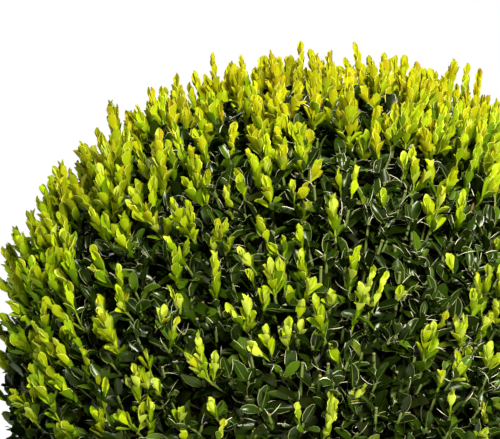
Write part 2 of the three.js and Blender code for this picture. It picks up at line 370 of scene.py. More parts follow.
# ---- materials -----------------------------------------------------------------------------------
def leaf_material(name, colour, roughness, specular=0.5, sheen=(1, 1, 1)):
    m = bpy.data.materials.new(name)
    m.use_nodes = True
    s = m.node_tree.nodes["Principled BSDF"]
    s.inputs["Base Color"].default_value = srgb(colour)
    s.inputs["Roughness"].default_value = roughness
    s.inputs["Specular IOR Level"].default_value = specular
    s.inputs["Specular Tint"].default_value = (*sheen, 1)
    return m


def bark_material(name, dark, light, moss, scale):
    """Furrowed bark: long plates, pale ridges, dark furrows and a trace of green."""
    m = bpy.data.materials.new(name)
    m.use_nodes = True
    nodes, links = m.node_tree.nodes, m.node_tree.links
    s = nodes["Principled BSDF"]
    s.inputs["Roughness"].default_value = 0.86
    s.inputs["Specular IOR Level"].default_value = 0.25
    where = nodes.new("ShaderNodeTexCoord")
    stretch = nodes.new("ShaderNodeMapping")
    stretch.inputs["Scale"].default_value = (scale, scale, scale * 0.28)
    links.new(where.outputs["Object"], stretch.inputs["Vector"])
    plates = nodes.new("ShaderNodeTexNoise")
    plates.inputs["Scale"].default_value = 1.0
    plates.inputs["Detail"].default_value = 6.0
    plates.inputs["Roughness"].default_value = 0.62
    links.new(stretch.outputs["Vector"], plates.inputs["Vector"])
    cracks = nodes.new("ShaderNodeTexVoronoi")
    cracks.feature = "DISTANCE_TO_EDGE"
    cracks.inputs["Scale"].default_value = 1.3
    links.new(stretch.outputs["Vector"], cracks.inputs["Vector"])
    tone = nodes.new("ShaderNodeValToRGB")
    tone.color_ramp.elements[0].position = 0.32
    tone.color_ramp.elements[0].color = srgb(dark)
    tone.color_ramp.elements[1].position = 0.68
    tone.color_ramp.elements[1].color = srgb(light)
    links.new(plates.outputs["Fac"], tone.inputs["Fac"])
    patches = nodes.new("ShaderNodeTexNoise")
    patches.inputs["Scale"].default_value = 38.0
    patches.inputs["Detail"].default_value = 3.0
    links.new(where.outputs["Object"], patches.inputs["Vector"])
    edge = nodes.new("ShaderNodeValToRGB")
    edge.color_ramp.elements[0].position = 0.56
    edge.color_ramp.elements[1].position = 0.72
    links.new(patches.outputs["Fac"], edge.inputs["Fac"])
    green = nodes.new("ShaderNodeMix")
    green.data_type = "RGBA"
    green.inputs[7].default_value = srgb(moss)
    links.new(edge.outputs["Color"], green.inputs[0])
    links.new(tone.outputs["Color"], green.inputs[6])
    furrow = nodes.new("ShaderNodeValToRGB")
    furrow.color_ramp.elements[0].position = 0.0
    furrow.color_ramp.elements[0].color = (0.28, 0.25, 0.22, 1)
    furrow.color_ramp.elements[1].position = 0.12
    furrow.color_ramp.elements[1].color = (1, 1, 1, 1)
    links.new(cracks.outputs["Distance"], furrow.inputs["Fac"])
    shade = nodes.new("ShaderNodeMix")
    shade.data_type = "RGBA"
    shade.blend_type = "MULTIPLY"
    shade.inputs[0].default_value = 1.0
    links.new(green.outputs[2], shade.inputs[6])
    links.new(furrow.outputs["Color"], shade.inputs[7])
    links.new(shade.outputs[2], s.inputs["Base Color"])
    bump = nodes.new("ShaderNodeBump")
    bump.inputs["Strength"].default_value = 0.5
    bump.inputs["Distance"].default_value = 0.0012
    links.new(plates.outputs["Fac"], bump.inputs["Height"])
    links.new(bump.outputs["Normal"], s.inputs["Normal"])
    return m


BARK = bark_material("stem bark", "4a3f2c", "9a8a67", "6c7045", 210.0)
YOUNG_BARK = bark_material("bough bark", "5d4f33", "a08f64", "70733f", 330.0)
BRANCH = leaf_material("branch bark", "6a5b3b", 0.85, 0.2)
TWIG = leaf_material("twig", "5a6a28", 0.6, 0.3)
GREENISH = (0.93, 1, 0.78)
MATURE = {
    "dark": leaf_material("leaf dark", "152103", 0.24, 0.25, GREENISH),
    "mid": leaf_material("leaf mid", "243705", 0.24, 0.25, GREENISH),
    "fresh": leaf_material("leaf fresh", "445e0a", 0.26, 0.24, GREENISH),
    "olive": leaf_material("leaf olive", "5a6a14", 0.35, 0.25),
    "underside": leaf_material("leaf underside", "40541c", 0.55, 0.12),
    # inner: a near-black base colour for the leaves deep in the crown, painted shade for the ball's dark inside
    "inner": leaf_material("leaf inner painted shade", "181f03", 0.4, 0.2),
}
SOFT = (1, 1, 0.45)
NEW = {
    "amber": leaf_material("shoot amber", "b8a414", 0.45, 0.12, SOFT),
    "yellow": leaf_material("shoot yellow", "b4b50e", 0.45, 0.12, SOFT),
    "lime": leaf_material("shoot lime", "aabe12", 0.45, 0.12, SOFT),
    # pale: a whitish lime dealt mostly low on the right, partly painted highlight where the key lamp falls
    "pale": leaf_material("shoot pale", "bfd040", 0.45, 0.2),
    "green": leaf_material("shoot green", "82a00c", 0.45, 0.12, SOFT),
    "deep": leaf_material("shoot deep green", "5c7c0c", 0.45, 0.12, SOFT),
    # moss and leek: darker tones that the left flank gets as painted shade
    "moss": leaf_material("shoot moss painted shade", "989810", 0.45, 0.12, SOFT),
    "leek": leaf_material("shoot leek green painted shade", "8e9b0e", 0.45, 0.12, SOFT),
}
SHOOT_STEM = leaf_material("shoot stem", "8fa426", 0.5, 0.25)
# shoot leaf margin: a pale yellow rim on the young leaves, partly their pale margin, partly painted highlight for light
# through and on the thin edge
SHOOT_EDGE_AND_HIGHLIGHT = leaf_material("shoot leaf margin and edge highlight", "d8d850", 0.5, 0.15)
# dried rim: a near-white straw colour for the real dried edges, made paler and more frequent so it also stands in for
# glints, painted highlight
STRAW = leaf_material("dried rim", "e8e3c2", 0.7, 0.15)
RIB = leaf_material("leaf midrib", "5f7430", 0.5, 0.2)
# leaf margin: a pale rim round the outer leaves, partly their own margin, partly painted highlight where light catches
# the edge
MARGIN_AND_EDGE_HIGHLIGHT = leaf_material("leaf margin", "838d50", 0.5, 0.3)
CUT_WOOD = leaf_material("cut end", "86814e", 0.8, 0.2)
WITHERED = leaf_material("withered leaf", "6a4c28", 0.65, 0.2)

# ---- trunk and boughs ----------------------------------------------------------------------------
def limb_mesh(centre, radius_at, sides, level):
    """A limb round a line of points, with its ring angles counted as in the CAD limb."""
    along = unit(np.gradient(centre, axis=0))
    if level:
        along[0] = UP
    side = np.array([0.0, 1, 0]) - along * along[:, 1:2]
    thin = (side**2).sum(1) < 0.05
    side[thin] = (np.array([1.0, 0, 0]) - along * along[:, :1])[thin]
    side = unit(side)
    other = np.cross(along, side)
    turn = np.arange(sides) / sides * 2 * math.pi
    t = np.linspace(0, 1, len(centre))
    r = radius_at(t[:, None], turn[None, :])
    verts = centre[:, None] + r[..., None] * (
        np.cos(turn)[None, :, None] * side[:, None] + np.sin(turn)[None, :, None] * other[:, None]
    )
    m = len(centre)
    if level:
        verts[0, :, 2] = 0.0
        verts[..., 2] = np.maximum(verts[..., 2], 0.0)
    i, j = np.meshgrid(np.arange(m - 1), np.arange(sides), indexing="ij")
    a, b = (i * sides + j).ravel(), (i * sides + (j + 1) % sides).ravel()
    faces = [np.stack([a, b, b + sides], 1), np.stack([a, b + sides, a + sides], 1)]
    verts = np.concatenate([verts.reshape(-1, 3), centre[:1], centre[-1:]])
    ring = np.arange(sides)
    after = (ring + 1) % sides
    faces.append(np.stack([np.full(sides, m * sides), after, ring], 1))
    last = (m - 1) * sides
    faces.append(np.stack([np.full(sides, m * sides + 1), last + ring, last + after], 1))
    return verts, np.concatenate(faces)


def bark_relief(t, turn, length, round_cells, long_cells, seed):
    """Height of the bark over its furrows, from about -1 to 1."""
    u = turn / (2 * math.pi) * round_cells + 0 * t
    v = t * long_cells + 0 * turn
    lean = 1.6 * (ripple(u * 0.5, v * 0.8, seed + 1, round_cells // 2) - 0.5)
    plates = ripple(u + lean, v, seed + 2, round_cells)
    ridge = 1 - np.abs(2 * ripple(u * 2, v * 1.5, seed + 3, round_cells * 2) - 1)
    fine = ripple(u * 4, v * 4, seed + 4, round_cells * 4) - 0.5
    return 1.1 * (plates - 0.5) + 0.9 * (ridge - 0.55) + 0.35 * fine


def stem_radius(t, turn):
    flare = np.exp(-t / 0.085)
    taper = 15 + (10.5 - 15) * np.clip((t - 0.1) / 0.85, 0, 1)
    end = np.where(t > 0.94, 1 - 0.35 * ((t - 0.94) / 0.06) ** 2, 1)
    flutes = 1 + 0.13 * flare * np.cos(5 * turn + 0.7) + 0.035 * np.cos(3 * turn + 2 + 3 * t)
    flutes = flutes + 0.02 * np.cos(2 * turn - 4 * t)
    relief = bark_relief(t, turn, 120, 14, 9, 50) * (0.85 + 0.5 * flare)
    return (taper + (27 - 15) * flare) * end * flutes + relief - 0.2


line = catmull(STEM_POINTS, np.linspace(0, 1, 150))
piece("stem_bark", [limb_mesh(line, stem_radius, 112, True)], BARK, ["main_stem"])


def bough_points(i):
    turn = ((i + 0.07 * math.sin(2.7 * i + 1)) / BOUGHS) * 2 * math.pi + 0.5
    reach = 106 * (1 + 0.06 * math.sin(3.1 * i))
    return [
        (
            math.cos(turn + bend) * reach * share + 1.5,
            math.sin(turn + bend) * reach * share,
            20 + z * 58 + 1.5 * math.sin(2 * i),
        )
        for share, z, bend in ((0.04, 0, 0), (0.3, 0.14, 0.05), (0.62, 0.44, -0.04), (1, 1, 0.03))
    ]


bough_ends, bough_ways = [], []
for i in range(BOUGHS):
    line = catmull(bough_points(i), np.linspace(0, 1, 110))

    def bough_radius(t, turn, i=i):
        round_ = 1 + 0.05 * np.cos(2 * turn + i) + 0.03 * np.cos(3 * turn + 5 * t)
        # a collar where the bough leaves the stem, and slight swellings at old leaf joints
        collar = 2.2 * np.exp(-(((t - 0.13) / 0.1) ** 2))
        joints = 0.35 * np.exp(-(((t * 9 + 0.3 * i) % 1 - 0.5) / 0.12) ** 2)
        relief = 0.5 * bark_relief(t, turn, 120, 8, 16, 80 + 10 * i)
        return (7.8 + (6 - 7.8) * t) * round_ + collar + joints + relief - 0.1

    piece(
        f"bough_bark_{i + 1}", [limb_mesh(line, bough_radius, 44, False)], YOUNG_BARK, [f"bough_{i + 1}"]
    )
    bough_ends.append(line[-1])
    bough_ways.append(unit(line[-1] - line[-4]))
bough_ends, bough_ways = np.array(bough_ends), np.array(bough_ways)
fork = np.array(STEM_POINTS[-1], float) - np.array([0, 0, 5.0])

# ---- the clipped surface ---------------------------------------------------------------------------
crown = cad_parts["clipped_crown"]
tree = BVHTree.FromPolygons(
    [v.co * 1000 for v in crown.data.vertices], [p.vertices[:] for p in crown.data.polygons]
)


def outline_radius(directions):
    """The crown's smoothed radius in each direction, without its single tufts."""
    around = unit(np.random.default_rng(11).normal(size=(16, 3))) * 0.13
    out = np.zeros(len(directions))
    middle = Vector(CENTRE)
    for i, d in enumerate(directions):
        total = 0.0
        for a in around:
            w = Vector(d + a).normalized()
            hit = tree.ray_cast(middle + w * 400, -w)[0]
            total += (hit - middle).length if hit is not None else 230.0
        out[i] = total / len(around)
    return out


grid = sphere_directions(700)
grid_radius = outline_radius(grid)


def smooth_radius(directions):
    near = directions @ grid.T
    weight = np.exp((near - 1) / 0.004)
    return (weight * grid_radius).sum(1) / weight.sum(1)


# ---- twigs ------------------------------------------------------------------------------------------
out = unit(sphere_directions(TWIGS) + rng.normal(0, 0.022, (TWIGS, 3)))
high = out[:, 2]
clump_at = unit(rng.normal(size=(420, 3)))
clump_lift = rng.uniform(-1, 1, 420)
clump = clump_lift[(out @ clump_at.T).argmax(1)]
outline = smooth_radius(out)
end_radius = outline - np.interp(high, *CLIP_DEPTH) + 4.5 * clump + rng.normal(0, 3.0, TWIGS)
stub = rng.random(TWIGS) < 0.1            # twigs that the shears left bare at the end
end_radius += 4.0 * stub
twig_end = CENTRE + out * end_radius[:, None]
lift_weight = np.interp(high, [-1, -0.5, -0.1, 1], [0.1, 0.45, 0.74, 0.74])[:, None]
twig_way = unit(0.62 * out + lift_weight * UP + rng.normal(0, 0.17, (TWIGS, 3)))
inner_way = unit(0.85 * out + 0.5 * lift_weight * UP + rng.normal(0, 0.12, (TWIGS, 3)))
twig_length = between(*TWIG_LENGTH, TWIGS)[:, None]
twig_mid = twig_end - twig_way * twig_length * 0.5
twig_start = twig_mid - inner_way * twig_length * 0.5


def towards_foot(points, way):
    """Moves points inwards and down, to where their parent limb passes."""
    foot = np.array([5.0, -3.0, 95.0])
    gap = foot - points
    far = np.linalg.norm(gap, axis=1, keepdims=True)
    return points + gap / far * np.minimum(way, 0.38 * far)


own_1, middle_1 = groups(twig_start, 520)
joint_1 = towards_foot(middle_1, 36.0)
own_2, middle_2 = groups(joint_1, 64)
joint_2 = towards_foot(middle_2, 44.0)
turns = np.arctan2(bough_ways[:, 1], bough_ways[:, 0])
low = np.stack([np.cos(turns) * 125, np.sin(turns) * 125, np.full(BOUGHS, 205.0)], 1)
upper = [np.array([0, 0, 360.0])] + [
    np.array([math.cos(a) * 95, math.sin(a) * 95, 300.0]) for a in turns + math.pi / BOUGHS
]
own_3, middle_3 = groups(joint_2, BOUGHS + 6, np.array([*low, *upper]), rounds=4)
joint_3 = towards_foot(middle_3, 34.0)

limbs = []
start = np.concatenate([bough_ends, np.repeat(fork[None], 6, 0)])
first_way = np.concatenate([bough_ways, unit(0.4 * unit(joint_3[BOUGHS:] - fork) + 0.6 * UP)])
span = np.linalg.norm(joint_3 - start, axis=1, keepdims=True)
path = bent(start, start + first_way * span * 0.45, joint_3, np.linspace(0, 1, 9))
limbs.append(tubes(path, np.linspace(1, 0.72, 9)[None] * np.full((11, 1), 6.4), 10, True))
limb_way = unit(path[:, -1] - path[:, -2])

base, way = joint_3[own_3], limb_way[own_3]
span = np.linalg.norm(joint_2 - base, axis=1, keepdims=True)
path = bent(base, base + way * span * 0.4, joint_2, np.linspace(0, 1, 7))
limbs.append(tubes(path, np.linspace(4.2, 2.9, 7)[None].repeat(len(base), 0), 8, True))
branch_way = unit(path[:, -1] - path[:, -2])
piece("inner_branches", limbs, BRANCH, ["clipped_crown"])

base, way = joint_2[own_2], branch_way[own_2]
span = np.linalg.norm(joint_1 - base, axis=1, keepdims=True)
path = bent(base, base + way * span * 0.4, joint_1, np.linspace(0, 1, 5))
small = [tubes(path, np.linspace(2.8, 2.0, 5)[None].repeat(len(base), 0), 5)]
small_way = unit(path[:, -1] - path[:, -2])
base, way = joint_1[own_1], small_way[own_1]
span = np.linalg.norm(twig_start - base, axis=1, keepdims=True)
path = bent(base, base + way * span * 0.4, twig_start, [0, 0.5, 1])
small.append(tubes(path, np.linspace(1.7, 1.35, 3)[None].repeat(TWIGS, 0), 3))
piece("branchlets", small, BRANCH, ["clipped_crown"])

path = bent(twig_start, twig_mid, twig_end, [0, 0.5, 1])
piece(
    "twigs", [tubes(path, np.array([[1.45, 1.3, 1.1]]).repeat(TWIGS, 0), 3)], TWIG, ["clipped_crown"]
)


def twig_place(index, t):
    """Place and direction at t along each twig."""
    a, b, c = twig_start[index], twig_mid[index], twig_end[index]
    t = t[:, None]
    return (1 - t) ** 2 * a + 2 * t * (1 - t) * b + t**2 * c, unit((1 - t) * (b - a) + t * (c - b))


def across(way):
    """Two directions square to way and to each other."""
    guess = np.where(np.abs(way[:, 2:]) > 0.85, np.array([1.0, 0, 0]), UP)
    u = unit(guess - dot(guess, way) * way)
    return u, np.cross(way, u)


# ---- full-grown leaves --------------------------------------------------------------------------------
PAIRS = 7
step = np.cumsum(np.concatenate([between(0.5, 2.5, (TWIGS, 1)), between(5.6, 8.6, (TWIGS, PAIRS - 1))], 1), 1)
pairs = rng.integers(5, PAIRS + 1, TWIGS)
twig_turn = between(0, 2 * math.pi, TWIGS)
twig_tone = rng.choice(3, TWIGS, p=[0.48, 0.4, 0.12])
index = np.repeat(np.arange(TWIGS), PAIRS * 2)
node = np.tile(np.repeat(np.arange(PAIRS), 2), TWIGS)
half = np.tile([0, 1], TWIGS * PAIRS)
keep = (node < pairs[index]) & (rng.random(len(index)) < np.where(node < 3, 0.86, 0.6))
index, node, half = index[keep], node[keep], half[keep]
t = 1 - step[index, node] / twig_length[index, 0]
place, way = twig_place(index, np.clip(t, 0.02, 1))
u, v = across(way)
phi = twig_turn[index] + node * math.pi / 2 + half * math.pi + rng.normal(0, 0.2, len(index))
aside = np.cos(phi)[:, None] * u + np.sin(phi)[:, None] * v
lean = np.radians(np.where(node == 0, between(18, 40, len(index)), between(26, 60, len(index))))[:, None]
along = np.cos(lean) * way + np.sin(lean) * aside
face = -np.cos(lean) * aside + np.sin(lean) * way
light = unit(0.75 * out[index] + 0.65 * UP)
turned = between(0.0, 0.6, len(index))[:, None]
light_face = light - dot(light, along) * along
face = unit((1 - turned) * face + turned * light_face + rng.normal(0, 0.27, face.shape))
flat = between(0, 0.5, len(index))[:, None]
along = unit(along - flat * dot(along, out[index]) * out[index] + rng.normal(0, 0.13, along.shape))
length = between(*LEAF_LENGTH, len(index)) * np.where(node == 0, 0.86, 1)
width = length * between(0.38, 0.49, len(index))
cup = between(0.16, 0.45, len(index))
bend = rng.normal(-0.25, 0.3, len(index))
twist = rng.normal(0, 0.22, len(index))
place = place + aside * 1.0

seen_under = (dot(face, out[index])[:, 0] < -0.15) & (rng.random(len(index)) < 0.55)
tone = twig_tone[index]
tone = np.where(rng.random(len(index)) < 0.16, rng.integers(0, 3, len(index)), tone)
tone = np.where((tone == 2) & (node > 1), 1, tone)
tone = np.where(seen_under & (node < 4), 4, tone)
tone = np.where((rng.random(len(index)) < 0.01) & (tone != 4), 3, tone)
# leaves that stood out past the clipped surface were cut back to it, or off
past = np.linalg.norm(place + along * length[:, None] - CENTRE, axis=1) - end_radius[index] - between(5, 11, len(index))
cut = (past > 0) & (rng.random(len(index)) < 0.6)
length = np.where(cut, np.maximum(length - past, 0.45 * length), length)
gone = (past > 5) & ~cut | stub[index] & (step[index, node] < 15)
place, along, face, length, width, cup, bend, twist, tone, cut, node, index = (
    x[~gone] for x in (place, along, face, length, width, cup, bend, twist, tone, cut, node, index)
)
deep = node >= 4


def pick(mask):
    return [x[mask] for x in (place, along, face, length, width, cup, bend, twist)]


for k, name in enumerate(["dark", "mid", "fresh", "olive", "underside"]):
    of_tone = (tone == k) & (node < 3)
    parts = [
        leaves(FULL_BLADE, *pick(of_tone & (node < 2) & ~cut)),
        leaves(INNER_BLADE, *pick(of_tone & (node == 2) & ~cut)),
        leaves(CUT_BLADE, *pick(of_tone & cut)),
    ]
    piece(f"leaves_{name}", parts, MATURE[name], ["clipped_crown"])
# the leaves deep in the crown take the near-black inner colour, painted shade
parts = [leaves(HALF_HIDDEN, *pick(node == 3)), leaves(DEEP_BLADE, *pick(node > 3))]
piece("leaves_inner_painted_shade", parts, MATURE["inner"], ["clipped_crown"])

# the pale margin of the outer leaves, partly painted highlight where light catches the edge, and dried rims where the
# shears went through them, set more on the lit side as painted highlight
edged = (node < 2) & ~cut & (rng.random(len(index)) < 0.7)
lit_side_rim_share = np.interp(out[:, 0], [-0.9, -0.3, 0.3], [0.4, 0.8, 1.2])     # more on the right, where the key lamp falls: rims placed there as painted highlight
rim = (node < 3) & ~edged & (rng.random(len(index)) < np.where(cut, 0.85, 0.2) * lit_side_rim_share[index])
curls = 3700
weight = np.interp(high, [-1, -0.5, 0.1], [0.1, 0.4, 1]) * lit_side_rim_share     # few where shears seldom reach, and more on the lit right side as painted highlight
at = rng.choice(TWIGS, curls, p=weight / weight.sum())
curl_way = unit(twig_way[at] + rng.normal(0, 0.7, (curls, 3)))
curl = leaves(
    blade([0.25, 0.5, 0.75], [0.42, 0.5, 0.42], midrib=False),
    twig_end[at] - twig_way[at] * between(0, 8, curls)[:, None],
    curl_way,
    unit(rng.normal(size=(curls, 3))),
    between(8, 19, curls),
    between(0.25, 0.44, curls),
    np.zeros(curls),
    between(0.9, 2.6, curls) * np.where(rng.random(curls) < 0.5, 1, -1),
    np.zeros(curls),
)
blunt = ([0.42, 0.72, 0.93, 0.91], [0.5, 0.48, 0.4, 0.03])
whole = ([0.12, 0.38, 0.68, 0.91, 1.0], [0.28, 0.48, 0.48, 0.27, 0.03])
dry = edging(*blunt, 0.08, 0.22, 0.14, True, pick(rim & cut))
piece("dried_rims_and_painted_glints", [dry, curl], STRAW, ["clipped_crown"])
ribbed = (node < 2) & ~cut & (rng.random(len(index)) < 0.55)
line_at, line_on, line_face, line_length, _, _, *line_bends = pick(ribbed)
ribs = leaves(
    blade([0.12, 0.38, 0.68, 0.91], [0.5, 0.5, 0.4, 0.2], midrib=False),
    line_at + 0.16 * line_face,
    line_on,
    line_face,
    line_length,
    np.full(len(line_at), 0.5),
    np.zeros(len(line_at)),
    *line_bends,
)
piece("leaf_midribs", [ribs], RIB, ["clipped_crown"])
# the pale rims round the edged leaves: partly real margin, partly painted edge highlight
pale = edging(*whole, 0.1, 0.26, 0.14, False, pick(edged | rim & ~cut))
piece("leaf_margins", [pale], MARGIN_AND_EDGE_HIGHLIGHT, ["clipped_crown"])

# ---- new shoots -------------------------------------------------------------------------------------------
chance = np.interp(high, [-1, -0.5, 0, 0.35, 0.7, 0.9, 1], [0.03, 0.06, 0.1, 0.15, 0.28, 0.4, 0.46])
patchy = np.exp(0.45 * clump_lift[(out @ clump_at.T).argmax(1)])
# where the reference view shows each shoot, the listed ones stand in place of most others
end_x, end_y = seen_at(twig_end)
shown = (out @ eye > 0.08) & (end_x > -15) & (end_x < 515) & (end_y < 455)
others = 0.14 * np.interp(end_x, [15, 50, 170, 320, 400], [2, 5, 1, 1.2, 1.6])
on_top = np.interp(end_x, [150, 190, 250, 300, 360, 440, 500], [1.5, 2.8, 1.7, 1.0, 1.3, 2.2, 6])
lower = np.interp(end_x, [60, 110, 180], [2.6, 0.7, 1]) * np.where(high > 0.35, 1.5, 1)
patchy = np.where(shown, patchy * others * np.where(high > 0.6, on_top, lower), patchy)
budding = rng.random(TWIGS) < chance * patchy
many = np.where(budding, rng.choice([1, 2, 3], TWIGS, p=[0.52, 0.36, 0.12]), 0)
from_twig = np.repeat(np.arange(TWIGS), many)
order = np.concatenate([np.arange(m) for m in many])
shoots = len(from_twig)
s_out, s_high = out[from_twig], high[from_twig]
back = np.where(order == 0, between(0, 2, shoots), between(2, 7, shoots))
s_base = twig_end[from_twig] - twig_way[from_twig] * back[:, None]
u, v = across(twig_way[from_twig])
phi = twig_turn[from_twig] + order * math.pi * np.where(many[from_twig] == 3, 2 / 3, 1) + rng.normal(0, 0.3, shoots)
aside = np.cos(phi)[:, None] * u + np.sin(phi)[:, None] * v
spread = np.radians(np.where(many[from_twig] > 1, between(14, 30, shoots), between(0, 14, shoots)))[:, None]
s_way = unit(np.cos(spread) * twig_way[from_twig] + np.sin(spread) * aside)
rise = np.interp(s_high, [-1, -0.4, 0, 1], [0.1, 0.3, 0.55, 0.45])[:, None]
s_end_way = unit(s_way + rise * UP + rng.normal(0, 0.08, (shoots, 3)))
s_length = between(24, 46, shoots) * np.interp(s_high, [-1, 0, 0.6, 1], [0.75, 0.95, 1.05, 1.05])
s_length = np.where(order > 0, s_length * between(0.7, 1.0, shoots), s_length)
# no shoot stands further out than the outline does
tip = s_base + (s_way + s_end_way) * 0.5 * s_length[:, None]
loose = np.abs(rng.normal(0, 9, shoots)) + np.interp(s_high, [-1, 0, 0.5, 1], [-4, -9, 0, 3])
too_far = np.linalg.norm(tip - CENTRE, axis=1) - smooth_radius(unit(tip - CENTRE)) + loose
s_length = np.maximum(12, s_length - np.maximum(0, too_far) * 1.05)

# shoots that stand where the reference view has them, each from a leaf joint on the outer part of
# a twig near its foot, and leaning towards the view as far as any other shoot there does
foot_x, foot_y, tip_x, tip_y = np.array(SEEN, float).T
h_out = unit(sight(foot_x, foot_y, 215.0) - CENTRE)
h_foot = sight(foot_x, foot_y, smooth_radius(h_out) - np.interp(h_out[:, 2], *CLIP_DEPTH))
joint_twig = np.tile(np.arange(TWIGS), 5)
joint_at = twig_place(joint_twig, 1 - np.repeat([0.0, 4, 8, 12, 16], TWIGS) / twig_length[joint_twig, 0])[0]
joint_x, joint_y = seen_at(joint_at)
aim_x, aim_y = (tip_x - foot_x)[:, None], (tip_y - foot_y)[:, None]
reach = np.hypot(aim_x, aim_y)
gap_x, gap_y = joint_x[None] - foot_x[:, None], joint_y[None] - foot_y[:, None]
aside_, along_ = (gap_x * aim_y - gap_y * aim_x) / reach, (gap_x * aim_x + gap_y * aim_y) / reach
depth = ((joint_at @ eye)[None] - (h_foot @ eye)[:, None]) / MM_PER_PX
own = (aside_**2 + 0.35 * along_**2 + 0.15 * depth**2).argmin(1)
h_foot, own = joint_at[own], joint_twig[own]
many[own] += 1
usual = unit(0.62 * out[own] + 0.6 * UP) @ eye
level = sight_at(tip_x, tip_y, h_foot @ eye)
rise_ = np.linalg.norm(level - h_foot, axis=1)
h_tip = sight_at(tip_x, tip_y, h_foot @ eye + rise_ * np.clip(usual / np.sqrt(1 - usual**2), -0.6, 0.75))
chord = h_tip - h_foot
chord *= 1 - 7 / np.linalg.norm(chord, axis=1, keepdims=True)     # the last leaves reach past the stem
h_length = np.linalg.norm(chord, axis=1)
h_way = unit(chord / h_length[:, None] - 0.16 * UP + rng.normal(0, 0.05, chord.shape))
h_end_way = unit(2 * chord / h_length[:, None] - h_way)
s_base, s_way = np.concatenate([s_base, h_foot]), np.concatenate([s_way, h_way])
s_end_way, s_length = np.concatenate([s_end_way, h_end_way]), np.concatenate([s_length, h_length])
h_out = unit(h_tip - CENTRE)
s_out, s_high = np.concatenate([s_out, h_out]), np.concatenate([s_high, h_out[:, 2]])
shoots = len(s_base)


def shoot_place(index, t):
    a, b, l = s_way[index], s_end_way[index], s_length[index][:, None]
    t = t[:, None]
    return s_base[index] + l * (t * a + 0.5 * t**2 * (b - a)), unit(a + t * (b - a))


ts = np.array([0, 0.3, 0.65, 0.94])
every = np.arange(shoots)
path = np.stack([shoot_place(every, np.full(shoots, x))[0] for x in ts], 1)
stems = tubes(path, np.array([[0.95, 0.85, 0.7, 0.4]]).repeat(shoots, 0), 3)
piece("shoot_stems", [stems], SHOOT_STEM, ["clipped_crown"])

# flush: 1 is a tight flame of long leaves, as on the top; 0 is an open shoot of round ones
flush = np.interp(s_high, [-0.3, 0.1, 0.5, 0.75], [0.0, 0.25, 0.7, 1.0]) + rng.normal(0, 0.16, shoots)
flush = np.clip(flush + 0.3 * np.interp(s_out[:, 0], [-0.9, -0.5], [1, 0]), 0, 1)


def by_flush(share, low, high_, index):
    """A measure along the shoot, between its value on open and on tight shoots."""
    at = [0, 0.3, 0.65, 1]
    f = flush[index]
    return (1 - f) * np.interp(share, at, low) + f * np.interp(share, at, high_)


# left: how far a shoot stands on the left flank, the side the key lamp misses
left = np.interp(s_out[:, 0], [-0.95, -0.3], [1, 0])
gap = (between(5.9, 7.4, shoots) - 1.8 * flush) * (1 + 0.12 * left)
MOST = 11
nodes_on = np.clip(np.round(np.minimum(s_length, 52) / gap), 3, MOST).astype(int)
index = np.repeat(every, MOST * 2)
node = np.tile(np.repeat(np.arange(MOST), 2), shoots)
half = np.tile([0, 1], shoots * MOST)
keep = node < nodes_on[index]
keep &= ~((node == 0) & (rng.random(len(index)) < 0.3))
index, node, half = index[keep], node[keep], half[keep]
share = (node + 0.5) / nodes_on[index]                  # 0 at the foot, 1 at the tip
t = 1 - (1 - share) ** 1.1
t = np.clip(1 - (1 - t * 0.96) * np.minimum(1, 52 / s_length[index]), 0, 0.97)
place, way = shoot_place(index, t)
u, v = across(way)
shoot_turn = between(0, 2 * math.pi, shoots)
phi = shoot_turn[index] + node * math.pi / 2 + half * math.pi + rng.normal(0, 0.12, len(index))
aside = np.cos(phi)[:, None] * u + np.sin(phi)[:, None] * v
openness = between(0.6, 1.3, shoots)[index]
lean = np.radians(by_flush(share, [44, 34, 24, 9], [44, 35, 26, 11], index) * openness + rng.normal(0, 4, len(index)))
lean = lean[:, None]
along = unit(np.cos(lean) * way + np.sin(lean) * aside + rng.normal(0, 0.05, way.shape))
face = -np.cos(lean) * aside + np.sin(lean) * way
face = unit(face + 0.12 * (0.7 * s_out[index] + 0.7 * UP))
size = (between(0.85, 1.15, shoots) * (1 + 0.15 * left))[index] * between(0.9, 1.1, len(index))
length = by_flush(share, [10, 12, 12, 8.5], [11.2, 13.6, 12.8, 9.8], index) * size
width = length * by_flush(share, [0.42, 0.43, 0.43, 0.39], [0.43, 0.45, 0.45, 0.41], index) * between(0.9, 1.1, len(index))
cup = between(0.25, 0.5, len(index)) + 0.1 * flush[index]
bend = np.interp(share, [0, 0.5, 1], [0.2, 0.45, 0.3]) + rng.normal(0, 0.14, len(index))
twist = rng.normal(0, 0.14, len(index))

warm = np.interp(s_high, [-0.2, 0.25, 0.5, 0.8, 0.9, 1], [0.0, 0.08, 0.17, 0.36, 0.64, 0.86]) + rng.normal(0, 0.2, shoots)
warm = np.clip(warm, 0, 1)
# low_right: shoots low on the right, where the key lamp falls, lean to warmer and paler tones, partly painted highlight
low_right = np.interp(s_high, [0.1, 0.55], [1, 0]) * (1 - left)
# on the left flank the mix moves to darker, greener tones as painted shade; high on the left it moves a little warmer
mix = warm * 0.75 - left * np.interp(s_high, [0.3, 0.6], [0.16, 0]) + 0.2 * low_right
mix += 0.1 * np.interp(s_out[:, 0], [-0.9, -0.1], [1, 0]) * np.interp(s_high, [0.25, 0.55], [0, 1])
mix -= 0.15 * np.interp(s_high, [-0.35, 0.05], [1, 0]) * np.interp(s_out[:, 0], [-0.8, 0.1], [1, 0])
mix = mix[index] + 0.6 * (share - 0.5) + rng.normal(0, 0.16, len(index))
tone = np.where(mix < 0.06, 4, np.where(mix < 0.38, 2, 1))
tone = np.where((mix > 0.62) & (rng.random(len(index)) < 0.24 * np.interp(s_high[index], [0.6, 0.85], [0, 1])), 0, tone)
tone = np.where(mix < -0.14, 5, tone)
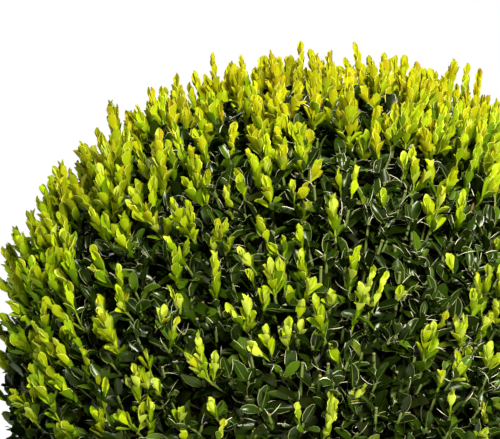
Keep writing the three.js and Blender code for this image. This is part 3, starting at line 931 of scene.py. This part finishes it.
# lime leaves low on the right turn pale, partly painted highlight
tone = np.where((tone == 2) & (rng.random(len(index)) < 0.55 * low_right[index]), 3, tone)
tone = np.where((tone == 1) & (rng.random(len(index)) < np.interp(s_high[index], [0.4, 0.8], [0.85, 0])), 3, tone)
# shady: most young leaves on the left flank take the moss and leek tones, painted shade
shady = rng.random(len(index)) < 0.9 * left[index]
tone = np.where(shady & (tone < 4), np.where(tone < 2, 6, 7), tone)
long_leaf = flush[index] + rng.normal(0, 0.2, len(index)) > 0.45
for k, name in enumerate(NEW):
    parts = []
    for outline_, shape in ((LONG_SHOOT, long_leaf), (ROUND_SHOOT, ~long_leaf)):
        m = (tone == k) & shape
        parts.append(leaves(outline_, *(x[m] for x in (place, along, face, length, width, cup, bend, twist))))
    piece(f"shoot_leaves_{name}", parts, NEW[name], ["clipped_crown"])
# pale rims on the young leaves, partly painted edge highlight, so fewer on the shaded left flank
rimmed_and_highlit = (share > 0.2) & (share < 0.9) & (rng.random(len(index)) < 0.68 - 0.5 * left[index])
shape = [x[rimmed_and_highlit] for x in (place, along, face, length, width, cup, bend, twist)]
edge = edging([0.42, 0.7, 0.92, 1.0], [0.44, 0.49, 0.28, 0.02], 0.2, 0.1, 0.0, True, shape)
piece("shoot_leaf_margins", [edge], SHOOT_EDGE_AND_HIGHLIGHT, ["clipped_crown"])

# cut ends of the twigs that bear no shoot, and a few withered leaves
bare = np.flatnonzero((many == 0) & (stub | (rng.random(TWIGS) < 0.25)))
ends = bent(
    twig_end[bare] - twig_way[bare] * 0.4,
    twig_end[bare],
    twig_end[bare] + twig_way[bare] * 0.5,
    [0, 1],
)
piece(
    "cut_ends",
    [tubes(ends, np.full((len(bare), 2), 1.15), 5, True)],
    CUT_WOOD,
    ["clipped_crown"],
)
dead = rng.choice(TWIGS, 60, replace=False)
piece(
    "withered_leaves",
    [
        leaves(
            FULL_BLADE,
            twig_end[dead] - twig_way[dead] * between(0, 10, 60)[:, None],
            unit(twig_way[dead] + rng.normal(0, 0.6, (60, 3))),
            unit(rng.normal(size=(60, 3))),
            between(6, 10, 60),
            between(1.6, 3, 60),
            between(0.1, 0.4, 60),
            between(-0.8, 0.8, 60),
            np.zeros(60),
        )
    ],
    WITHERED,
    ["clipped_crown"],
)

# ---- floor, light and camera ---------------------------------------------------------------------------------
bpy.ops.mesh.primitive_circle_add(vertices=128, radius=1.25, fill_type="NGON", location=(0, 0, -0.0006))
floor = bpy.context.object
floor.name = "floor"
ground = bpy.data.materials.new("floor")
ground.use_nodes = True
shader = ground.node_tree.nodes["Principled BSDF"]
shader.inputs["Roughness"].default_value = 0.9
grain = ground.node_tree.nodes.new("ShaderNodeTexNoise")
grain.inputs["Scale"].default_value = 3.0
pale = ground.node_tree.nodes.new("ShaderNodeValToRGB")
pale.color_ramp.elements[0].color = (0.78, 0.78, 0.77, 1)
pale.color_ramp.elements[1].color = (0.84, 0.84, 0.83, 1)
ground.node_tree.links.new(grain.outputs["Fac"], pale.inputs["Fac"])
ground.node_tree.links.new(pale.outputs["Color"], shader.inputs["Base Color"])
floor.data.materials.append(ground)

scene = bpy.context.scene
scene.view_settings.view_transform = "Standard"
scene.view_settings.look = "None"
world = bpy.data.worlds.new("studio")
scene.world = world
world.use_nodes = True
nodes, links = world.node_tree.nodes, world.node_tree.links
nodes.clear()
output = nodes.new("ShaderNodeOutputWorld")
seen, lit = nodes.new("ShaderNodeBackground"), nodes.new("ShaderNodeBackground")
seen.inputs["Color"].default_value = (1, 1, 1, 1)
seen.inputs["Strength"].default_value = 1.0
lit.inputs["Color"].default_value = (1, 0.99, 0.88, 1)
lit.inputs["Strength"].default_value = 0.06
ray = nodes.new("ShaderNodeLightPath")
choose = nodes.new("ShaderNodeMixShader")
links.new(ray.outputs["Is Camera Ray"], choose.inputs["Fac"])
links.new(lit.outputs["Background"], choose.inputs[1])
links.new(seen.outputs["Background"], choose.inputs[2])
links.new(choose.outputs["Shader"], output.inputs["Surface"])


def soft_light(name, place, size, power, colour=(1, 1, 1)):
    light = bpy.data.lights.new(name, "AREA")
    light.shape = "DISK"
    light.size = size
    light.energy = power
    light.color = colour
    obj = bpy.data.objects.new(name, light)
    scene.collection.objects.link(obj)
    obj.location = place
    obj.rotation_mode = "QUATERNION"
    obj.rotation_quaternion = (Vector((0, 0, 0.27)) - Vector(place)).to_track_quat("-Z", "Y")
    return obj


soft_light("key", (0.7, -2.0, 1.4), 0.7, 100, (1, 0.98, 0.9))
soft_light("top", (0.3, -0.5, 2.2), 1.0, 11, (1, 1, 0.88))
soft_light("back", (0.9, 2.0, 0.8), 1.4, 62, (1, 0.99, 0.9))
soft_light("fill", (-2.0, -0.8, 0.12), 1.2, 7, (1, 1, 0.94))
soft_light("rear", (-1.7, 1.5, 1.1), 1.2, 22, (1, 1, 0.94))

middle = Vector(CENTRE) * 0.001
camera = bpy.data.objects.new("camera", bpy.data.cameras.new("camera"))
scene.collection.objects.link(camera)
scene.camera = camera
camera.data.sensor_width = 36.0
camera.data.lens = FOCAL_PX * 36.0 / PHOTO[0]
camera.data.clip_start, camera.data.clip_end = 0.05, 50
camera.location = middle + Vector(eye) * (DISTANCE * 0.001)
camera.rotation_mode = "QUATERNION"
camera.rotation_quaternion = view_turn
